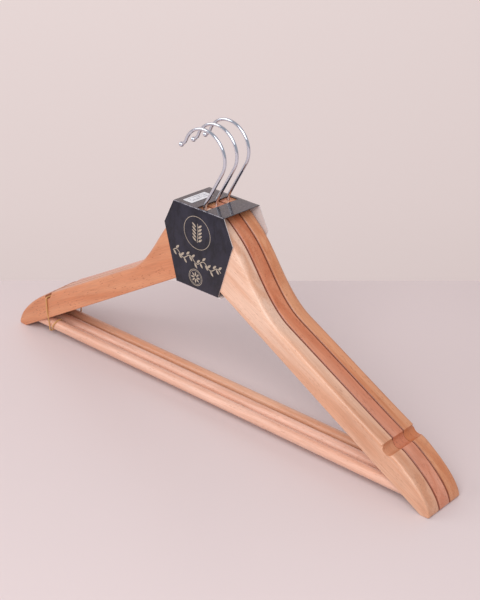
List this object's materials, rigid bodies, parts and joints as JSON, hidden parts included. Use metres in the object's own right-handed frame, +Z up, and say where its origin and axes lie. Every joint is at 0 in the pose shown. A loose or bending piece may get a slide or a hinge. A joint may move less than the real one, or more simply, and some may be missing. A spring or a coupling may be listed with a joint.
{
  "type": "clothes hanger set",
  "caption": "Banded set of wooden clothes hangers with swivel wire hooks, round trouser bars and strap notches, joined by a card sleeve and an elastic loop.",
  "frame": {"origin": "on the table, under the middle of the set's box", "axes": "+X along the width of the hangers, away from the open side of the hooks; +Y through their thickness, from the front hanger to the back one; +Z up"},
  "size_m": [0.445, 0.0416, 0.2407],
  "materials": {
    "beech_front": "satin lacquered beech, pale",
    "beech_middle": "satin lacquered beech, pinkish",
    "beech_back": "satin lacquered beech, golden",
    "beech_bar": "satin lacquered beech rod",
    "beech_dowel": "raw beech",
    "chrome_wire": "bright chrome plate",
    "zinc_steel": "zinc-plated steel",
    "navy_card": "gloss-varnished printed card",
    "label_paper": "white paper label",
    "amber_elastic": "thin elastic cord"
  },
  "bodies": {
    "hanger_set": {"front_left_arm": "beech_front", "front_right_arm": "beech_front", "front_neck_dowels": "beech_dowel", "front_hook_washer": "zinc_steel", "front_trouser_bar": "beech_bar", "front_bar_brads": "zinc_steel", "middle_left_arm": "beech_middle", "middle_right_arm": "beech_middle", "middle_neck_dowels": "beech_dowel", "middle_hook_washer": "zinc_steel", "middle_trouser_bar": "beech_bar", "middle_bar_brads": "zinc_steel", "back_left_arm": "beech_back", "back_right_arm": "beech_back", "back_neck_dowels": "beech_dowel", "back_hook_washer": "zinc_steel", "back_trouser_bar": "beech_bar", "back_bar_brads": "zinc_steel", "card_sleeve": "navy_card", "price_label": "label_paper", "elastic_band": "amber_elastic"},
    "front_hook_wire": {"front_hook": "chrome_wire"},
    "middle_hook_wire": {"middle_hook": "chrome_wire"},
    "back_hook_wire": {"back_hook": "chrome_wire"}
  },
  "joints": [
    {"name": "middle_hook_swivel", "type": "hinge", "parent": "hanger_set", "child": "middle_hook_wire", "pos_m": [0, 0, 0.1746], "axis": [0, 0, 1], "range_deg": [-70, 70]},
    {"name": "front_hook_swivel", "type": "hinge", "parent": "hanger_set", "child": "front_hook_wire", "pos_m": [0, -0.0131, 0.1746], "axis": [0, 0, 1], "range_deg": [-70, 70]},
    {"name": "back_hook_swivel", "type": "hinge", "parent": "hanger_set", "child": "back_hook_wire", "pos_m": [0, 0.0131, 0.1746], "axis": [0, 0, 1], "range_deg": [-70, 70]}
  ],
  "couplings": [
    {"joint": "front_hook_swivel", "follows": "middle_hook_swivel", "ratio": 1},
    {"joint": "back_hook_swivel", "follows": "middle_hook_swivel", "ratio": 1}
  ]
}
